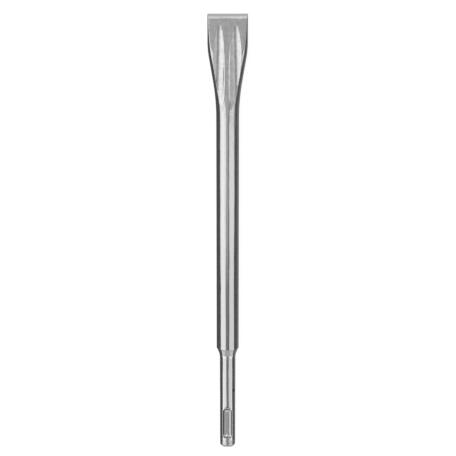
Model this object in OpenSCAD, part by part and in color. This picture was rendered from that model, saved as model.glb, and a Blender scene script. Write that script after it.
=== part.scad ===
// Flat chisel for a rotary hammer: slotted shank, round shaft and a flared blade with a pair of
// flutes in each face, all forged, turned and milled from one bar of steel.
// It lies along Y with the cutting edge towards +Y and a blade face up, and its shaft rests on z = 0.
// All lengths are in millimetres. Distances called "back" are measured from the cutting edge.

/* [Whole tool] */
// Length from the struck end to the cutting edge
total_l = 272.5; // [200:0.5:400]
// Diameter of the round shaft
shaft_d = 14; // [13:0.5:16]

/* [Blade outline] */
// Width of the blade across its cutting edge
blade_w = 24.4; // [20:0.1:36]
// Length of the straight, parallel sides
parallel_l = 16.5; // [10:0.5:24]
// Length over which the sides curve into the taper
flare_in_l = 9.5; // [4:0.5:16]
// Length of the straight taper
taper_l = 14; // [8:0.5:24]
// Length over which the taper eases into the shaft
flare_out_l = 22; // [12:0.5:30]

/* [Blade thickness] */
// Thickness of the blade just behind its bevels
blade_t = 3.8; // [3:0.1:5]
// Thickness left at the cutting edge
edge_t = 0.3; // [0.1:0.05:0.5]
// Length of the steep bevel at the cutting edge
edge_bevel_l = 1.4; // [0.8:0.1:1.6]
// Slope of the steep bevel
edge_bevel_a = 36; // [30:1:38]
// Slope of the shallow bevel behind it
back_bevel_a = 26; // [20:1:32]
// Length over which each face rises in a straight slope
slope_l = 39; // [34:0.5:42]
// Length over which that slope levels out, so that the land ends in a pointed arch on the shaft
slope_ease_l = 18; // [14:0.5:26]
// Round length between the end of a face and the end of the flare
face_margin = 1.5; // [0.5:0.1:3]

/* [Flutes] */
// Radius of a flute's round section
flute_r = 5.2; // [4:0.1:7]
// Distance back to the nose of a flute
flute_back = 6.4; // [5:0.1:12]
// Distance of a flute's nose from the blade's centre line
flute_x = 4.95; // [4:0.05:7]
// Angle at which a flute runs outwards from the centre line
flute_splay_a = 1.2; // [0:0.1:2]
// Angle at which a flute's bottom rises at its nose
flute_rise_a = 1.35; // [0.5:0.05:2]
// Radius of the long curve that lifts a flute out of the shaft
flute_bend_r = 545; // [400:5:800]

/* [Shoulder] */
// Slope length of the shoulder's cone along the shaft
cone_l = 2.5; // [1.5:0.1:4]
// Radial height of the fillet between the cone and the shank
fillet_h = 0.7; // [0.4:0.05:1]
// Length of that fillet along the shank
fillet_l = 3.5; // [2:0.1:6]
// Width of the broken edge where the shaft begins
shoulder_edge = 0.4; // [0.2:0.05:0.8]

/* [Shank] */
// Diameter of the slotted shank
shank_d = 10; // [9.6:0.1:10.4]
// Length of the shank from the struck end to the shaft
shank_l = 65; // [58:0.5:80]
// Chamfer round the struck end
end_chamfer = 1.1; // [0.5:0.1:2]

/* [Locking grooves] */
// Width of a locking groove at the shank's surface
lock_w = 5.8; // [5:0.1:6]
// Depth of a locking groove below the shank's crown, and radius of its corners
lock_depth = 2; // [1.8:0.05:2.3]
// Radius of the ball that a locking groove fits
lock_ball_r = 3.5; // [3.2:0.1:4]
// Distance from the struck end to the near end of a locking groove
lock_start = 6.1; // [5:0.1:10]
// Length of a locking groove
lock_l = 19.6; // [14:0.1:22]
// How far the shallow relief reaches past the groove's far end
relief_l = 1.5; // [1:0.1:2]
// Width of the relief at the shank's surface
relief_w = 4.2; // [3.4:0.1:4.6]

/* [Drive grooves] */
// Width of a drive groove
drive_w = 2.6; // [2:0.1:3.2]
// Depth of a drive groove
drive_depth = 1.4; // [0.8:0.1:1.6]
// Length of a drive groove at its full depth
drive_l = 28.5; // [20:0.5:32]
// Radius of the disc cutter that leaves the groove's run-out
drive_cutter_r = 26.5; // [15:0.5:32]

/* [Hidden] */
$fn = 96;

shaft_r = shaft_d / 2;
shank_r = shank_d / 2;
blade_hw = blade_w / 2;
blade_ht = blade_t / 2;

// Stations along the flare, measured back from the cutting edge
flare_start = parallel_l;
flare_full = flare_start + flare_in_l;
flare_ease = flare_full + taper_l;
head_l = flare_ease + flare_out_l;

// Half thickness where the two bevels meet, and where the bevels end
bevel_ht = edge_t / 2 + edge_bevel_l * tan(edge_bevel_a);
bevel_l = edge_bevel_l + (blade_ht - bevel_ht) / tan(back_bevel_a);

// Where a face starts to level out, and where it comes out on top of the shaft
slope_end = bevel_l + slope_l;
face_l = head_l - face_margin;

// The head ends in a plug that reaches this far into the shaft, and is this much slimmer all round.
plug_l = 1;
plug_inset = 0.15;

// Clear distance that a cutter reaches past the surface it cuts
past = 1;

// Angle of the bar's seam line, turned clear of the four grooves
seam_a = 360 / 7;

// Outline of the head

// Share of the flare that is done at a distance back: it starts gently, runs straight and ends gently.
flare_whole = flare_in_l / 2 + taper_l + flare_out_l / 2;
function flare_share(back) =
    back <= flare_start ? 0 :
    back <= flare_full ? pow(back - flare_start, 2) / (2 * flare_in_l) / flare_whole :
    back <= flare_ease ? (flare_in_l / 2 + back - flare_full) / flare_whole :
    back <= head_l ? 1 - pow(head_l - back, 2) / (2 * flare_out_l) / flare_whole : 1;

// Half width of the head
function half_width(back) = blade_hw + (shaft_r - blade_hw) * flare_share(back);

// Length of full slope that gives the same rise as the face has made at a distance back
function rise_run(back) =
    let (eased = min(max(back - slope_end, 0), slope_ease_l))
    min(back, slope_end) - bevel_l + eased - eased * eased / (2 * slope_ease_l);
face_slope = (shaft_r - blade_ht) / rise_run(face_l);

// Half thickness between the two faces, bevels included
function face_z(back) =
    back <= edge_bevel_l ? edge_t / 2 + back * tan(edge_bevel_a) :
    back <= bevel_l ? bevel_ht + (back - edge_bevel_l) * tan(back_bevel_a) :
    min(shaft_r, blade_ht + face_slope * rise_run(back));

// The bar's round side, spread to the width of the head
function side_z(x, back) =
    shaft_r * sqrt(max(0, 1 - pow(x / half_width(back), 2)));

// The head's surface before it is fluted
function plain_z(x, back) = min(face_z(back), side_z(x, back));

// Flutes

// Middle of a flute's round section
function flute_mid_x(back) = flute_x + max(back - flute_back, 0) * tan(flute_splay_a);
function flute_mid_z(back) =
    let (run = max(back - flute_back, 0))
    face_z(flute_back) + flute_r + run * tan(flute_rise_a) + run * run / (2 * flute_bend_r);

// How far a flute cuts below the plain surface, negative where it passes above
function flute_cut(x, back) =
    let (off = min(abs(x - flute_mid_x(back)), flute_r))
    plain_z(x, back) - flute_mid_z(back) + sqrt(flute_r * flute_r - off * off);

// Surface of the fluted head
function fluted_z(x, back) =
    flute_cut(x, back) > 0 ? plain_z(x, back) - flute_cut(x, back) : plain_z(x, back);

// Where the flute cuts deepest, found by looking across the half section
search_steps = 60;
function deepest_x(back) =
    let (
        reach = min(flute_mid_x(back) + flute_r, half_width(back)) * 0.98,
        xs = [for (i = [0 : search_steps]) reach * i / search_steps],
        cuts = [for (x = xs) flute_cut(x, back)],
        best = search(max(cuts), cuts)[0]
    )
    flute_cut(flute_mid_x(back), back) >= max(cuts) ? flute_mid_x(back) : xs[best];

// Where the cut begins between a point inside it and one outside it, found by halving
function cut_edge(inside, outside, back, halvings = 24) =
    halvings == 0 ? (inside + outside) / 2 :
    let (middle = (inside + outside) / 2)
    flute_cut(middle, back) > 0
        ? cut_edge(middle, outside, back, halvings - 1)
        : cut_edge(inside, middle, back, halvings - 1);

// Edges of the flute, or a narrow strip of plain surface where there is no flute
strip = 0.3;
function flute_edges(back) =
    let (
        deepest = deepest_x(back),
        fluted = flute_cut(deepest, back) > 0.001,
        inner = fluted ? cut_edge(deepest, 0, back) : deepest,
        outer = fluted ? cut_edge(deepest, half_width(back), back) : deepest
    )
    [min(inner, deepest - strip), max(outer, deepest + strip)];

// Sections of the head

// Points across one quarter, from the middle of the face to the side
land_steps = 3;
flute_steps = 6;
side_steps = 5;
function quarter(back) =
    let (
        width = half_width(back),
        corner = width * sqrt(1 - pow(face_z(back) / shaft_r, 2)),
        edges = flute_edges(back),
        land_end = min(corner, edges[0] - strip / 2),
        land = max(land_end, strip / 2),
        side_start = max(edges[1] + strip / 2, corner),
        side_a = acos(side_start / width)
    )
    concat(
        [[0, face_z(back)]],
        [for (i = [0 : land_steps - 1])
            let (x = land + (edges[0] - land) * i / land_steps) [x, plain_z(x, back)]],
        [for (i = [0 : flute_steps])
            let (x = edges[0] + (edges[1] - edges[0]) * i / flute_steps) [x, fluted_z(x, back)]],
        [for (i = [0 : side_steps - 1])
            let (a = side_a * (1 - i / side_steps)) [width * cos(a), shaft_r * sin(a)]],
        [[width, 0]]
    );

// The whole section, made by mirroring the quarter
function section(back) =
    let (q = quarter(back), last = len(q) - 1)
    concat(
        [for (i = [0 : last]) [q[i][0], q[i][1]]],
        [for (i = [last - 1 : -1 : 0]) [q[i][0], -q[i][1]]],
        [for (i = [1 : last]) [-q[i][0], -q[i][1]]],
        [for (i = [last - 1 : -1 : 1]) [-q[i][0], q[i][1]]]
    );

// Distances back at which the head has a section, closer together at the noses of the flutes
nose_l = 5;
nose_steps = 6;
body_steps = 30;
stations = concat(
    [0, edge_bevel_l, bevel_l, (bevel_l + flute_back) / 2],
    [for (i = [0 : nose_steps - 1]) flute_back + nose_l * pow(i / nose_steps, 1.5)],
    [for (i = [0 : body_steps - 1])
        flute_back + nose_l + (head_l - flute_back - nose_l) * i / body_steps]
);

// Bodies, standing upright: the struck end at z = 0 and a blade face towards -y

// Shank, shoulder and shaft, turned in one piece
module turned_bar() {
    cone_start = shank_l - cone_l;
    fillet_start = cone_start - fillet_l;
    fillet_r = (fillet_l * fillet_l + fillet_h * fillet_h) / (2 * fillet_h);
    bar_end = total_l - head_l;
    rotate([0, 0, seam_a])
        rotate_extrude() {
            polygon([
                [0, 0],
                [shank_r - end_chamfer, 0],
                [shank_r, end_chamfer],
                [shank_r, cone_start],
                [shank_r + fillet_h, cone_start],
                [shaft_r - shoulder_edge, shank_l - shoulder_edge / 2],
                [shaft_r, shank_l + shoulder_edge / 2],
                [shaft_r, bar_end],
                [0, bar_end]
            ]);
            difference() {
                translate([shank_r - past, fillet_start])
                    square([fillet_h + past, fillet_l]);
                translate([shank_r + fillet_r, fillet_start])
                    circle(r = fillet_r);
            }
        }
}

// Forged head: blade, bevels, flutes and flare, as one skin through its sections
module forged_head() {
    plug_scale = 1 - plug_inset / shaft_r;
    plug_z = total_l - head_l - plug_l;
    plug = [for (p = section(head_l)) [p[0] * plug_scale, -p[1] * plug_scale, plug_z]];
    rings = concat(
        [for (back = stations) [for (p = section(back)) [p[0], -p[1], total_l - back]]],
        [plug]
    );
    around = len(plug);
    along = len(rings);
    edge_middle = around * along;
    plug_middle = edge_middle + 1;
    points = concat([for (ring = rings) for (p = ring) p], [[0, 0, total_l], [0, 0, plug_z]]);
    faces = concat(
        [for (j = [0 : along - 2]) for (i = [0 : around - 1])
            let (next = (i + 1) % around)
            each [
                [j * around + i, j * around + next, (j + 1) * around + next],
                [j * around + i, (j + 1) * around + next, (j + 1) * around + i]
            ]],
        [for (i = [0 : around - 1]) [edge_middle, (i + 1) % around, i]],
        [for (i = [0 : around - 1])
            let (first = (along - 1) * around)
            [plug_middle, first + i, first + (i + 1) % around]]
    );
    polyhedron(points = points, faces = faces);
}

// Round cut with ball ends along the shank
module ball_ended(radius, length) {
    cylinder(r = radius, h = length);
    sphere(r = radius);
    translate([0, 0, length])
        sphere(r = radius);
}

// Closed groove on the front of the shank: the ball's path, widened by a round corner along each
// side, and a shallow relief past its far end
module locking_groove() {
    half_w = lock_w / 2;
    edge_drop = shank_r - sqrt(shank_r * shank_r - half_w * half_w);
    corner_x = half_w - sqrt(lock_depth * lock_depth - edge_drop * edge_drop);
    ball_lift = lock_ball_r - lock_depth;
    ball_reach = sqrt(lock_ball_r * lock_ball_r - ball_lift * ball_lift);
    translate([0, -shank_r - ball_lift, lock_start + ball_reach])
        ball_ended(lock_ball_r, lock_l - 2 * ball_reach);
    for (side = [-1, 1])
        translate([side * corner_x, -shank_r, lock_start + lock_depth])
            ball_ended(lock_depth, lock_l - 2 * lock_depth);

    half_relief = relief_w / 2;
    relief_lift = sqrt(shank_r * shank_r - half_relief * half_relief)
        + sqrt(lock_ball_r * lock_ball_r - half_relief * half_relief) - shank_r;
    relief_reach = sqrt(lock_ball_r * lock_ball_r - relief_lift * relief_lift);
    translate([0, -shank_r - relief_lift, lock_start + lock_l + relief_l - relief_reach])
        sphere(r = lock_ball_r);
}

// Straight groove on the right of the shank, open at the struck end, run out by a disc cutter
module drive_groove() {
    floor_x = shank_r - drive_depth;
    translate([floor_x, -drive_w / 2, -past])
        cube([drive_depth + past, drive_w, drive_l + past]);
    translate([floor_x + drive_cutter_r, drive_w / 2, drive_l])
        rotate([90, 0, 0])
            cylinder(r = drive_cutter_r, h = drive_w);
}

// The whole tool, laid down with its length along Y and a blade face up
module chisel() {
    color([0.62, 0.62, 0.62])
        translate([0, -total_l / 2, shaft_r])
            rotate([-90, 0, 0]) {
                difference() {
                    turned_bar();
                    for (turn = [0, 180])
                        rotate([0, 0, turn]) {
                            locking_groove();
                            drive_groove();
                        }
                }
                forged_head();
            }
}

chisel();
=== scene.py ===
import math

import bpy
import bmesh
import numpy as np
from mathutils import Matrix, Vector


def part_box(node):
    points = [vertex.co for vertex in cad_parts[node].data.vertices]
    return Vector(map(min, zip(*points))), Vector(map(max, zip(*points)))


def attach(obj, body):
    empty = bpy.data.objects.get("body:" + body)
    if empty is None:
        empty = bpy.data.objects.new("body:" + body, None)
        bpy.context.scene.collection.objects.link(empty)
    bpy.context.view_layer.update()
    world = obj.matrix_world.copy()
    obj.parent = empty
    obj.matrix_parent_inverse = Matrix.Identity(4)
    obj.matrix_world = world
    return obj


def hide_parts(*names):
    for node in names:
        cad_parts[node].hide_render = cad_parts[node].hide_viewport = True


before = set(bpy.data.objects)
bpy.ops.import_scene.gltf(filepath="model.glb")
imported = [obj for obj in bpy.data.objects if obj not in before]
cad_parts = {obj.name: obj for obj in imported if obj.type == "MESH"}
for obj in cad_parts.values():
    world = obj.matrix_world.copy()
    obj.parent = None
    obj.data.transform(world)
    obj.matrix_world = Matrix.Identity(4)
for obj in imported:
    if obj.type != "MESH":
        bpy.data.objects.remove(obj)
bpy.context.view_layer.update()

# Sizes in millimetres, as in the frame. "Back" is the distance from the cutting edge towards the
# struck end, and heights are measured from the tool's axis.
MM = 0.001
low, high = (np.array(corner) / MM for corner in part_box("chisel"))
BLADE_W, TOTAL_L, SHAFT_D = high - low
SHAFT_R = SHAFT_D / 2

PARALLEL_L = 16.5
FLARE_IN_L = 9.5
TAPER_L = 14
FLARE_OUT_L = 22
HEAD_L = PARALLEL_L + FLARE_IN_L + TAPER_L + FLARE_OUT_L

BLADE_HALF_T = 1.9
EDGE_HALF_T = 0.15
EDGE_BEVEL_L = 1.4
EDGE_BEVEL = math.tan(math.radians(36))
BACK_BEVEL = math.tan(math.radians(26))
SLOPE_L = 39
SLOPE_EASE_L = 18
FACE_L = HEAD_L - 1.5

FLUTE_R = 5.2
FLUTE_BACK = 6.4
FLUTE_X = 4.95
FLUTE_SPLAY = math.tan(math.radians(1.2))
FLUTE_RISE = math.tan(math.radians(1.35))
FLUTE_BEND_R = 545

SHANK_R = 5
SHANK_L = 65
CONE_L = 2.5
FILLET_H = 0.7
FILLET_L = 3.5
SHOULDER_EDGE = 0.4
END_CHAMFER = 1.1

LOCK_W = 5.8
LOCK_DEPTH = 2
LOCK_BALL_R = 3.5
LOCK_START = 6.1
LOCK_L = 19.6
RELIEF_L = 1.5
RELIEF_W = 4.2

DRIVE_W = 2.6
DRIVE_DEPTH = 1.4
DRIVE_L = 28.5
DRIVE_CUTTER_R = 26.5

# The blade's sides are ground rounder near the cutting edge.
TIP_ROUNDING = 0.08
TIP_ROUNDING_L = 13

# Small nick on the shank: across, from the struck end, its reach and its depth
NICK_X = 4.2
NICK_END = 38.2
NICK_REACH = 1.4
NICK_DEPTH = 0.4

# Ridge that was pushed up along the inner edge of each flute
LIP_H = 0.1
LIP_W = 0.32

# How softly two surfaces run into each other along an edge
RIM_SOFT = 0.16
TAPER_RIM_SOFT = 0.9
FLUTE_SOFT = 0.05
BEVEL_SOFT = 0.012
GROOVE_SOFT = 0.14
FLOOR_SOFT = 0.1
TURNED_SOFT = 0.3


def soft_min(a, b, softness):
    """The lower of two surfaces, with the edge where they meet broken."""
    return (a + b - np.sqrt((a - b) ** 2 + softness ** 2)) / 2


def soft_max(a, b, softness):
    """The higher of two surfaces, with a small fillet where they meet."""
    return -soft_min(-a, -b, softness)


# Forged head

def half_width(back):
    """Half the head's width: parallel sides, a curve into the taper and a curve into the shaft."""
    full = PARALLEL_L + FLARE_IN_L
    ease = full + TAPER_L
    whole = FLARE_IN_L / 2 + TAPER_L + FLARE_OUT_L / 2
    if back <= PARALLEL_L:
        share = 0
    elif back <= full:
        share = (back - PARALLEL_L) ** 2 / (2 * FLARE_IN_L) / whole
    elif back <= ease:
        share = (FLARE_IN_L / 2 + back - full) / whole
    else:
        share = 1 - max(HEAD_L - back, 0) ** 2 / (2 * FLARE_OUT_L) / whole
    return BLADE_W / 2 + (SHAFT_R - BLADE_W / 2) * share


BEVEL_HALF_T = EDGE_HALF_T + EDGE_BEVEL_L * EDGE_BEVEL
BEVEL_L = EDGE_BEVEL_L + (BLADE_HALF_T - BEVEL_HALF_T) / BACK_BEVEL
SLOPE_END = BEVEL_L + SLOPE_L


def rise_run(back):
    eased = min(max(back - SLOPE_END, 0), SLOPE_EASE_L)
    return min(back, SLOPE_END) - BEVEL_L + eased - eased ** 2 / (2 * SLOPE_EASE_L)


FACE_SLOPE = (SHAFT_R - BLADE_HALF_T) / rise_run(FACE_L)


def face_height(back, x):
    """Height of a blade face, with its two bevels, which a hand at the belt left a little uneven."""
    steep = EDGE_HALF_T + back * EDGE_BEVEL
    uneven = 0.035 * np.sin(x * 0.55 + 0.4) + 0.02 * np.sin(x * 1.3 + 2)
    shallow = BEVEL_HALF_T + (back - EDGE_BEVEL_L) * BACK_BEVEL + uneven
    face = BLADE_HALF_T + FACE_SLOPE * rise_run(back)
    return soft_min(soft_min(steep, shallow, BEVEL_SOFT), face, BEVEL_SOFT)


def side_height(x, back):
    """The bar's round side, spread to the head's width and rounder towards the cutting edge."""
    radius = SHAFT_R * (1 - TIP_ROUNDING * max(0, 1 - back / TIP_ROUNDING_L))
    return radius * np.sqrt(np.maximum(0, 1 - (x / half_width(back)) ** 2))


def flute_height(x, back):
    """The round bottom of a flute, and far above the face outside it."""
    run = max(back - FLUTE_BACK, 0)
    mid_x = FLUTE_X + run * FLUTE_SPLAY
    nose_height = BLADE_HALF_T + FACE_SLOPE * rise_run(FLUTE_BACK)
    mid_z = nose_height + FLUTE_R + run * FLUTE_RISE + run ** 2 / (2 * FLUTE_BEND_R)
    off = np.abs(x - mid_x)
    inside = np.sqrt(np.maximum(0, FLUTE_R ** 2 - np.minimum(off, FLUTE_R) ** 2))
    return mid_z - inside + np.maximum(off - FLUTE_R, 0)


def fade(value, start, stop):
    """Runs smoothly from 0 at one value to 1 at another."""
    share = np.clip((value - start) / (stop - start), 0, 1)
    return share * share * (3 - 2 * share)


def plain_height(x, back):
    """Face and round side, with a rounder edge along the taper."""
    softness = RIM_SOFT + (TAPER_RIM_SOFT - RIM_SOFT) * fade(back, 18, 27) * fade(back, 58, 48)
    face = np.minimum(SHAFT_R + RIM_SOFT, face_height(back, x))
    return soft_min(face, side_height(x, back), softness)


def head_height(x, back):
    return soft_min(plain_height(x, back), flute_height(x, back), FLUTE_SOFT)


def lip(x, back, edge):
    """The uneven ridge beside a flute's inner edge."""
    grown = fade(back, 12, 30) * fade(back, 60, 56) * (1 + 0.25 * math.sin(back * 0.8))
    return LIP_H * grown * np.exp(-((x - edge) / LIP_W + 1) ** 2)


def flute_edges(back):
    """Inner and outer edge of the flute, or a narrow strip where there is none."""
    width = half_width(back)
    x = np.linspace(0, width * 0.995, 2400)
    face = np.minimum(SHAFT_R, face_height(back, x))
    cut = np.minimum(face, side_height(x, back)) - flute_height(x, back)
    deepest = x[np.argmax(cut)]
    inside = x[cut > 0]
    strip = 0.25
    if len(inside) == 0:
        return deepest - strip, deepest + strip
    return min(inside[0], deepest - strip), max(inside[-1], deepest + strip)


# Number of mesh strips across each stretch of a quarter section, from the middle to the side
HEAD_STRIPS = (6, 5, 3, 13, 15, 8, 4, 9, 9)
QUARTER = sum(HEAD_STRIPS)


def stretches(stops, strips):
    """Points that divide each stretch between two stops into its own number of strips."""
    points = [np.linspace(a, b, n, endpoint=False) for a, b, n in zip(stops, stops[1:], strips)]
    return np.concatenate(points + [[stops[-1]]])


def head_quarter(back):
    """Quarter section of the head: x outwards from the middle, and height."""
    width = half_width(back)
    inner, outer = flute_edges(back)
    face = min(float(face_height(back, 0.0)), SHAFT_R)
    side = float(side_height(0.0, back))
    corner = width * math.sqrt(max(0, 1 - (face / side) ** 2))
    zone = 0.2
    lip_zone = min(0.75, inner * 0.5)
    land = max(min(corner, inner - lip_zone - zone), 0.12)
    rim = max(corner, outer + 2 * zone)
    rim = min(rim, width * 0.985)
    rim_zone = min(zone * 2, (width - rim) * 0.45, rim - outer - zone * 0.9)
    stops = [0, max(land - zone, 0.04), min(land + zone, inner - lip_zone - 0.01), inner - lip_zone,
             inner + zone, outer - zone, outer + zone, rim - rim_zone, rim + rim_zone]
    x = stretches(stops, HEAD_STRIPS[:-1])
    start = math.acos(min(1, stops[-1] / width))
    angles = np.linspace(start, 0, HEAD_STRIPS[-1] + 1)[1:]
    x = np.concatenate([x, width * np.cos(angles)])
    z = np.minimum(head_height(x, back) + lip(x, back, inner), SHAFT_R)
    z[-1] = 0
    return x, z


# Turned shank

def turned_radius(back):
    """Radius of the bar's turned end: shaft, broken edge, cone, fillet, shank and end chamfer."""
    end = TOTAL_L - back
    cone_start = SHANK_L - CONE_L
    fillet_r = (FILLET_L ** 2 + FILLET_H ** 2) / (2 * FILLET_H)
    cone_slope = (SHAFT_R - SHOULDER_EDGE - SHANK_R - FILLET_H) / (CONE_L - SHOULDER_EDGE / 2)
    cone = SHANK_R + FILLET_H + (end - cone_start) * cone_slope
    shaft_edge = SHAFT_R - SHOULDER_EDGE + (end - SHANK_L + SHOULDER_EDGE / 2)
    if end <= cone_start:
        into = max(end - (cone_start - FILLET_L), 0)
        body = SHANK_R + fillet_r - math.sqrt(fillet_r ** 2 - into ** 2)
    else:
        body = soft_min(soft_max(cone, shaft_edge, 0.05), SHAFT_R, 0.08)
    return float(min(soft_min(body, SHANK_R - END_CHAMFER + end, TURNED_SOFT), SHAFT_R))


def ball_cut(x, past_end, lift, radius):
    """Height of a round cut with ball ends, its middle lifted above the shank's crown."""
    under = radius ** 2 - x ** 2 - past_end ** 2
    middle = SHANK_R + lift
    return np.where(under > 0, middle - np.sqrt(np.maximum(under, 0)), middle + 3)


def reach(radius, lift):
    """How far a ball reaches along the crown when its middle is lifted above it."""
    return math.sqrt(radius ** 2 - lift ** 2)


EDGE_DROP = SHANK_R - math.sqrt(SHANK_R ** 2 - (LOCK_W / 2) ** 2)
CORNER_X = LOCK_W / 2 - math.sqrt(LOCK_DEPTH ** 2 - EDGE_DROP ** 2)
BALL_LIFT = LOCK_BALL_R - LOCK_DEPTH
RELIEF_LIFT = (math.sqrt(SHANK_R ** 2 - (RELIEF_W / 2) ** 2)
               + math.sqrt(LOCK_BALL_R ** 2 - (RELIEF_W / 2) ** 2) - SHANK_R)
RELIEF_MIDDLE = LOCK_START + LOCK_L + RELIEF_L - reach(LOCK_BALL_R, RELIEF_LIFT)


def locking_cut(x, end):
    """Height of the locking groove's bottom: the ball's path, its round corners and the relief."""
    def past(inset):
        return max(LOCK_START + inset - end, end - (LOCK_START + LOCK_L - inset), 0)
    floor = ball_cut(x, past(reach(LOCK_BALL_R, BALL_LIFT)), BALL_LIFT, LOCK_BALL_R)
    corner = ball_cut(np.abs(x) - CORNER_X, past(LOCK_DEPTH), 0, LOCK_DEPTH)
    relief = ball_cut(x, abs(end - RELIEF_MIDDLE), RELIEF_LIFT, LOCK_BALL_R)
    return np.minimum(soft_min(floor, corner, FLOOR_SOFT), relief + (9 if end < RELIEF_MIDDLE else 0))


def drive_floor(end):
    """Distance of a drive groove's floor from the axis."""
    floor = SHANK_R - DRIVE_DEPTH
    run = end - DRIVE_L
    if run <= 0:
        return floor
    if run >= DRIVE_CUTTER_R:
        return floor + DRIVE_CUTTER_R
    return floor + DRIVE_CUTTER_R - math.sqrt(DRIVE_CUTTER_R ** 2 - run ** 2)


SHANK_STRIPS = (16, 10, 20, 8, 12, 6)
assert sum(SHANK_STRIPS) == QUARTER
LOCK_ZONE = 0.25
DRIVE_ZONE = 0.22


def shank_quarter(back):
    """Quarter section of the shank: x from the crown of the locking groove to the drive groove."""
    end = TOTAL_L - back
    radius = turned_radius(back)
    x = np.linspace(0, LOCK_W / 2 + 0.2, 1200)
    inside = x[locking_cut(x, end) < np.sqrt(np.maximum(radius ** 2 - x ** 2, 0))]
    edge = max(inside[-1] if len(inside) else 0, 0.6)
    top = stretches([0, edge - LOCK_ZONE, edge + LOCK_ZONE], SHANK_STRIPS[:2])
    bar = np.sqrt(radius ** 2 - top ** 2)
    top_z = soft_min(bar, locking_cut(top, end), GROOVE_SOFT)
    start = math.asin(top[-1] / radius)
    half = DRIVE_W / 2
    stop = math.acos((half + DRIVE_ZONE) / radius)
    angles = np.linspace(start, stop, SHANK_STRIPS[2] + 1)[1:]
    side_z = np.concatenate([
        np.linspace(half + DRIVE_ZONE, half + 0.03, SHANK_STRIPS[3] + 1)[1:],
        np.linspace(half + 0.03, half - 0.03, SHANK_STRIPS[4] + 1)[1:],
        np.linspace(half - 0.03, 0, SHANK_STRIPS[5] + 1)[1:],
    ])
    floor = drive_floor(end)
    wall = floor + (side_z - (half - 0.03)) / 0.06 * DRIVE_DEPTH * 1.15
    groove = np.maximum(wall, floor)
    side_x = soft_min(np.sqrt(radius ** 2 - side_z ** 2), groove, GROOVE_SOFT)
    return (np.concatenate([top, radius * np.sin(angles), side_x]),
            np.concatenate([top_z, radius * np.cos(angles), side_z]))


def steps(*runs):
    """Distances back made of runs, each a start, a stop and a number of steps."""
    return np.concatenate([np.linspace(a, b, n, endpoint=False) for a, b, n in runs])


def chisel_sections():
    """Every quarter section of the tool, from the cutting edge to the struck end."""
    head = steps((0, 0.3, 3), (0.3, 1.2, 3), (1.2, 1.6, 6), (1.6, 2.7, 4), (2.7, 3.4, 9),
                 (3.4, 6.2, 6), (6.2, 12, 17), (12, HEAD_L, 64))
    shaft = steps((HEAD_L, TOTAL_L - SHANK_L - 0.8, 34))
    end_zone = 3.3 * (1 - np.cos(np.linspace(0, math.pi / 2, 18)))
    far_end = TOTAL_L - LOCK_START - LOCK_L + end_zone
    near_end = TOTAL_L - LOCK_START - end_zone[::-1]
    shoulder = TOTAL_L - SHANK_L
    runout = TOTAL_L - DRIVE_L - 9
    shank = np.concatenate([
        steps((shoulder - 0.8, shoulder - 0.3, 3), (shoulder - 0.3, shoulder + 0.4, 9),
              (shoulder + 0.4, shoulder + CONE_L, 6),
              (shoulder + CONE_L, shoulder + CONE_L + FILLET_L, 10),
              (shoulder + CONE_L + FILLET_L, runout - 2.8, 7),
              (runout - 2.8, runout, 12),
              (runout, far_end[0] - RELIEF_L - 0.15, 16),
              (far_end[0] - RELIEF_L - 0.15, far_end[0] - 0.04, 14)),
        far_end,
        steps((far_end[-1], near_end[0], 12))[1:],
        near_end,
        steps((near_end[-1] + 0.1, TOTAL_L - END_CHAMFER - 0.8, 6),
              (TOTAL_L - END_CHAMFER - 0.8, TOTAL_L - END_CHAMFER + 0.6, 12),
              (TOTAL_L - END_CHAMFER + 0.6, TOTAL_L, 3)),
        [TOTAL_L],
    ])
    sections = [(back, *head_quarter(back)) for back in head]
    first = np.arctan2(*head_quarter(HEAD_L - 0.01))
    last = np.arctan2(*shank_quarter(shank[0]))
    for back in shaft:
        share = (back - shaft[0]) / (shank[0] - shaft[0])
        angle = first + (last - first) * share * share * (3 - 2 * share)
        sections.append((back, SHAFT_R * np.sin(angle), SHAFT_R * np.cos(angle)))
    sections += [(back, *shank_quarter(back)) for back in shank]
    return sections


def ring(back, x, z):
    """A whole section from its quarter, in the frame's millimetres."""
    around_x = np.concatenate([x, x[-2::-1], -x[1:], -x[-2:0:-1]])
    around_z = np.concatenate([z, -z[-2::-1], -z[1:], z[-2:0:-1]])
    y = np.full(len(around_x), high[1] - back)
    return np.column_stack([around_x, y, around_z + SHAFT_R])


def nick_share(points):
    """How much each point belongs to the nick, from 0 to 1."""
    middle = (NICK_X, low[1] + NICK_END, SHAFT_R + math.sqrt(SHANK_R ** 2 - NICK_X ** 2))
    return fade(np.linalg.norm(points - middle, axis=1), NICK_REACH, NICK_REACH * 0.2)


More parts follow.
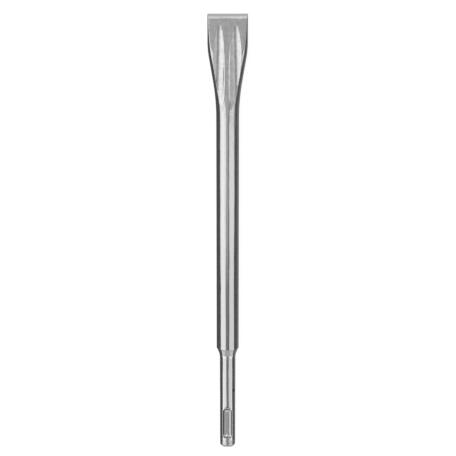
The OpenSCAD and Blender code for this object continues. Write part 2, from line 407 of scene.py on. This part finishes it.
def surface_marks(points, normals):
    """How much each point belongs to a milled groove, to a blade face, or to the painted shade on the
    locking grooves' steep walls, far corner and relief rim and in the nick.
    """
    x, end, z = points[:, 0], points[:, 1] - low[1], points[:, 2] - SHAFT_R
    ends = np.linspace(0, SHANK_L, 1200)
    bar = np.interp(end, ends, [turned_radius(TOTAL_L - value) for value in ends])
    across = np.maximum(np.hypot(x, z), 0.01)
    depth = np.where(end < SHANK_L, bar - across, 0)
    steepness = 1 - (normals[:, 0] * x + normals[:, 2] * z) / across
    cut = fade(depth, 0.04, 0.15)
    milled = fade(depth, 0.3, 0.6) * fade(end, 7.2, 9)
    steep = steepness + np.where(x < 0, 0.15, 0)
    # The wall mark is painted shade. It darkens the colour of the locking grooves' steep walls, far corner
    # and relief rim, and of the nick.
    wall = cut * fade(depth, 0.1, 0.3) * fade(steep, 0.38, 0.6) * fade(end, 7.5, 8.5)
    far = LOCK_START + LOCK_L
    from_ball = np.hypot(x, end - far + reach(LOCK_BALL_R, BALL_LIFT))
    from_relief = np.hypot(x, end - RELIEF_MIDDLE)
    corner = fade(from_ball, 2.3, 2.6) * fade(from_ball, 3.4, 3.1) * fade(end, far - 1.2, far - 0.6)
    rim = fade(from_relief, 1.8, 2.1) * fade(end, far - 0.3, far + 0.1)
    wall = np.maximum(wall, cut * np.maximum(corner, rim)) * fade(np.abs(z), 2, 2.6)
    # The nick's hollow gets the same painted shade.
    wall = np.maximum(wall, nick_share(points))
    land = fade(end, TOTAL_L - 60, TOTAL_L - 48) * fade(np.abs(z), 1.0, 1.4)
    forged = fade(end, TOTAL_L - 110, TOTAL_L - 80) * fade(end, TOTAL_L - 4, TOTAL_L - 8)
    return {"milled": milled, "wall": wall, "land": land, "forged": forged,
            "struck": fade(end, 6.2, 4.6)}


def chisel_mesh():
    """The whole tool as one closed skin."""
    rings = [ring(*section) for section in chisel_sections()]
    last = rings[-1]
    middle = np.array([0, low[1], SHAFT_R])
    for share in (0.985, 0.85, 0.6, 0.3):
        rings.append(middle + (last - middle) * share)
    around, along = len(last), len(rings)
    points = np.vstack(rings + [middle[None]])
    nick = nick_share(points)
    points[:, 0] -= nick * NICK_DEPTH * NICK_X / SHANK_R
    points[:, 2] -= nick * NICK_DEPTH * math.sqrt(1 - (NICK_X / SHANK_R) ** 2)
    points *= MM
    faces = []
    for j in range(along - 1):
        for i in range(around):
            k = (i + 1) % around
            faces.append((j * around + i, j * around + k, (j + 1) * around + k, (j + 1) * around + i))
    for i in range(around):
        faces.append(((along - 1) * around + i, (along - 1) * around + (i + 1) % around,
                      along * around))
    half = around // 2
    side = QUARTER
    for i in range(half):
        upper, lower = (side - i) % around, side + i
        upper_next, lower_next = (side - i - 1) % around, side + i + 1
        if i == 0:
            faces.append((side, upper_next, lower_next))
        elif i == half - 1:
            faces.append((upper, upper_next, lower))
        else:
            faces.append((upper, upper_next, lower_next, lower))
    mesh = bpy.data.meshes.new("forged_chisel")
    mesh.from_pydata([tuple(p) for p in points], [], faces)
    shape = bmesh.new()
    shape.from_mesh(mesh)
    bmesh.ops.recalc_face_normals(shape, faces=shape.faces)
    shape.to_mesh(mesh)
    shape.free()
    mesh.shade_smooth()
    normals = np.array([vertex.normal for vertex in mesh.vertices])
    for name, values in surface_marks(points / MM, normals).items():
        mesh.attributes.new(name, "FLOAT", "POINT").data.foreach_set("value", values)
    return mesh


# Materials

def linear(hex_colour):
    """An sRGB hex colour as linear red, green, blue and alpha."""
    parts = [int(hex_colour[i:i + 2], 16) / 255 for i in (0, 2, 4)]
    return tuple(c / 12.92 if c <= 0.04045 else ((c + 0.055) / 1.055) ** 2.4 for c in parts) + (1,)


def add(tree, kind, inputs=None, **settings):
    """Adds a node, with its settings and with values, links or other nodes for its inputs."""
    node = tree.nodes.new(kind)
    for name, value in settings.items():
        setattr(node, name, value)
    for name, value in (inputs or {}).items():
        if isinstance(value, bpy.types.Node):
            value = value.outputs[0]
        if isinstance(value, bpy.types.NodeSocket):
            tree.links.new(value, node.inputs[name])
        else:
            node.inputs[name].default_value = value
    return node


def new_material(name):
    material = bpy.data.materials.new(name)
    material.use_nodes = True
    tree = material.node_tree
    tree.nodes.clear()
    return material, tree


# Sizes of the surface's patterns in millimetres, across, along and up: the belt's waves, its fine
# lines, drawn coarser than the real grit so that they show, blotches and specks where scale was
# ground off, the cutter's grain and the smudges by the struck end
PATTERNS = {
    "waves": (7, 22, 7),
    "lines": (0.3, 6, 0.3),
    "blotches": (2.4, 3.3, 2.4),
    "specks": (0.65, 1.1, 0.65),
    "grain": (0.38, 0.38, 0.38),
    "smudges": (1.1, 1.6, 1.1),
}
DETAIL = {"waves": 1, "lines": 2, "blotches": 3, "specks": 2, "grain": 2, "smudges": 3}


def ground_tool_steel():
    """Tool steel, forged and then ground and polished on belts: a bright grey mirror, slightly wavy,
    with fine lines along the tool. The blade's faces are mottled where scale was ground off. The
    milled locking grooves are duller, with painted shade on their steep walls and in the nick, and
    the struck end is smudged."""
    material, tree = new_material("ground_tool_steel")
    place = add(tree, "ShaderNodeTexCoord").outputs["Object"]
    noise = {}
    for name, sizes in PATTERNS.items():
        scaled = add(tree, "ShaderNodeMapping", {"Vector": place, "Scale": [1 / (MM * s) for s in sizes]})
        noise[name] = add(tree, "ShaderNodeTexNoise",
                          {"Vector": scaled, "Scale": 1, "Detail": DETAIL[name]})
    marks = {name: add(tree, "ShaderNodeAttribute", attribute_name=name).outputs["Fac"]
             for name in ("milled", "wall", "land", "forged", "struck")}

    # Tones that darken the steel: where, the pattern, its range, and the share taken off over it
    tone = None
    for mark, pattern, start, stop, least, most in (
            ("land", "blotches", 0.35, 0.68, -0.06, 0.08),
            ("forged", "specks", 0.64, 0.72, 0, 0.35),
            ("milled", "grain", 0.35, 0.65, -0.25, 0.02),
            # The wall tone is painted shade: it takes a flat 88% off the colour where the wall mark lies.
            ("wall", "grain", 0, 0.1, 0.88, 0.88),
            ("struck", "smudges", 0.45, 0.62, 0, 0.3)):
        taken = add(tree, "ShaderNodeMapRange",
                    {"Value": noise[pattern], "From Min": start, "From Max": stop,
                     "To Min": least, "To Max": most})
        taken = add(tree, "ShaderNodeMath", {0: taken, 1: marks[mark]}, operation="MULTIPLY")
        left = add(tree, "ShaderNodeMath", {0: 1, 1: taken}, operation="SUBTRACT")
        tone = add(tree, "ShaderNodeMath", {0: tone, 1: left}, operation="MULTIPLY") if tone else left
    colour = add(tree, "ShaderNodeVectorMath", {0: linear("CDCDCE")[:3], "Scale": tone},
                 operation="SCALE")

    rough = add(tree, "ShaderNodeMapRange",
                {"Value": noise["lines"], "From Min": 0.3, "From Max": 0.7,
                 "To Min": 0.11, "To Max": 0.19})
    for mark, more in (("milled", 0.16), ("struck", 0.15)):
        duller = add(tree, "ShaderNodeMath", {0: marks[mark], 1: more}, operation="MULTIPLY")
        rough = add(tree, "ShaderNodeMath", {0: rough, 1: duller}, operation="ADD")

    uneven = add(tree, "ShaderNodeMath", {0: marks["land"], 1: 0.35}, operation="MULTIPLY")
    uneven = add(tree, "ShaderNodeMath", {0: uneven, 1: noise["blotches"]}, operation="MULTIPLY")
    broad = add(tree, "ShaderNodeMath", {0: noise["waves"], 1: uneven}, operation="ADD")
    wavy = add(tree, "ShaderNodeBump", {"Height": broad, "Strength": 1, "Distance": 0.12 * MM})
    milling = add(tree, "ShaderNodeMath", {0: noise["grain"], 1: marks["milled"]}, operation="MULTIPLY")
    fine = add(tree, "ShaderNodeMath", {0: noise["lines"], 1: milling}, operation="ADD")
    lined = add(tree, "ShaderNodeBump",
                {"Height": fine, "Strength": 0.3, "Distance": 0.01 * MM, "Normal": wavy})
    surface = add(tree, "ShaderNodeBsdfPrincipled",
                  {"Base Color": colour, "Metallic": 1, "Roughness": rough, "Normal": lined})
    add(tree, "ShaderNodeOutputMaterial", {"Surface": surface})
    return material


# Studio

def seen_white(tree, surface, strength):
    """Adds light of its own to a surface where it is looked at or mirrored, so that it shows white."""
    path = add(tree, "ShaderNodeLightPath").outputs
    mirrored = add(tree, "ShaderNodeMath", {0: path["Is Camera Ray"], 1: path["Is Glossy Ray"]},
                   operation="ADD")
    seen = add(tree, "ShaderNodeMath", {0: mirrored, 1: path["Is Transmission Ray"]},
               operation="ADD", use_clamp=True)
    level = add(tree, "ShaderNodeMath", {0: seen, 1: strength}, operation="MULTIPLY")
    glow = add(tree, "ShaderNodeEmission", {"Color": linear("FFFFFF"), "Strength": level})
    return add(tree, "ShaderNodeAddShader", {0: surface, 1: glow})


def pale_floor():
    material, tree = new_material("pale_floor")
    matt = add(tree, "ShaderNodeBsdfDiffuse", {"Color": linear("7C7C7C")})
    add(tree, "ShaderNodeOutputMaterial", {"Surface": seen_white(tree, matt, 0.89)})
    return material


def flat_piece(name, corners, material):
    mesh = bpy.data.meshes.new(name)
    mesh.from_pydata(corners, [], [tuple(range(len(corners)))])
    mesh.materials.append(material)
    piece = bpy.data.objects.new(name, mesh)
    bpy.context.scene.collection.objects.link(piece)
    return piece


def softbox(name, across, along, luminance):
    """A soft lamp over the tool that fills a range of angles from straight up: across towards +X,
    and along towards +Y."""
    distance = 1.0
    angle_x, angle_y = sum(across) / 2, sum(along) / 2
    width = 2 * distance * math.tan(math.radians(across[1] - across[0]) / 2)
    length = 2 * distance * math.tan(math.radians(along[1] - along[0]) / 2)
    lamp = bpy.data.lights.new(name, "AREA")
    lamp.shape = "RECTANGLE"
    lamp.size = width
    lamp.size_y = length
    lamp.energy = luminance * math.pi * width * length
    piece = bpy.data.objects.new(name, lamp)
    turn = Matrix.Rotation(math.radians(angle_x), 4, "Y") @ Matrix.Rotation(math.radians(-angle_y), 4, "X")
    aim = Vector((0, 0, SHAFT_R * MM))
    piece.matrix_world = Matrix.Translation(aim) @ turn @ Matrix.Translation((0, 0, distance))
    bpy.context.scene.collection.objects.link(piece)
    return piece


# A flat dim glow for the cards that paint dark reflections on the tool.
def dim_reflection_glow(name, luminance):
    material, tree = new_material(name)
    glow = add(tree, "ShaderNodeEmission", {"Color": linear("FFFFFF"), "Strength": luminance})
    add(tree, "ShaderNodeOutputMaterial", {"Surface": glow})
    return material


def lay_card(name, inner, outer, luminance):
    """A dimly glowing card on the floor beside the tool, which the tool mirrors and the camera doesn't
    see: it paints dark reflections along the tool's sides.
    """
    half_l, up = 1.5, 0.0004
    card = flat_piece(name, [(inner, -half_l, up), (outer, -half_l, up), (outer, half_l, up),
                             (inner, half_l, up)], dim_reflection_glow(name, luminance))
    card.visible_camera = False
    card.visible_diffuse = False
    card.visible_shadow = False


def build():
    chisel = bpy.data.objects.new("forged_chisel", chisel_mesh())
    bpy.context.scene.collection.objects.link(chisel)
    chisel.data.materials.append(ground_tool_steel())
    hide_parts("chisel")
    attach(chisel, "root")

    reach = 8
    floor = flat_piece("floor", [(-reach, -reach, 0), (reach, -reach, 0), (reach, reach, 0),
                                 (-reach, reach, 0)], pale_floor())
    # Painted dark reflections: dim glowing cards that only the tool's mirror shows.
    lay_card("left_card", -0.0085, -2, 0.11)
    lay_card("right_near_card", 0.0085, 0.026, 0.27)
    lay_card("right_far_card", 0.026, 2, 0.12)

    softbox("left_softbox", (-79, -13), (-15, 36), 1.14)
    softbox("left_softbox_middle", (-65, -30), (-12, 36), 0.15)
    softbox("left_softbox_near", (-71, -19), (-42, -15), 1.14)
    softbox("right_softbox", (16, 77), (-12, 36), 0.56)
    softbox("right_softbox_edge", (77, 92), (2, 36), 0.45)
    softbox("right_softbox_upper", (25, 50), (2, 36), 0.1)
    softbox("right_softbox_middle", (17, 72), (-12, 2), 0.45)
    softbox("right_softbox_near", (20, 70), (-42, -12), 0.9)
    softbox("top_softbox", (-13, 11), (-35, 36), 0.18)
    softbox("top_softbox_far", (-13, 11), (-13, 36), 0.29)
    softbox("rear_softbox", (-60, 60), (-78, -42), 0.5)
    softbox("rear_softbox_low", (-60, 60), (-92, -78), 0.6)
    softbox("rear_softbox_left", (-88, -60), (-78, -42), 0.35)
    softbox("rear_softbox_right", (60, 88), (-78, -42), 0.25)
    softbox("end_softbox", (-22, 22), (36, 84), 0.62)
    softbox("end_softbox_upper", (-22, 22), (40, 62), 0.36)

    world = bpy.data.worlds.new("studio")
    world.use_nodes = True
    background = world.node_tree.nodes["Background"]
    background.inputs["Color"].default_value = linear("FFFFFF")
    background.inputs["Strength"].default_value = 0.08
    bpy.context.scene.world = world

    camera_data = bpy.data.cameras.new("camera")
    camera_data.sensor_width = 36
    camera_data.lens = 76.36
    camera_data.clip_start = 0.01
    camera = bpy.data.objects.new("camera", camera_data)
    bpy.context.scene.collection.objects.link(camera)
    axis = Vector((0, 0, SHAFT_R * MM))
    roll = Matrix.Translation(axis) @ Matrix.Rotation(math.radians(3), 4, "Y") @ Matrix.Translation(-axis)
    stand = Matrix.Translation((0.0002, 0.1078, 0.5998)) @ Matrix.Rotation(math.radians(-9.75), 4, "X")
    camera.matrix_world = roll @ stand
    bpy.context.scene.camera = camera
    bpy.context.scene.view_settings.view_transform = "Standard"


build()
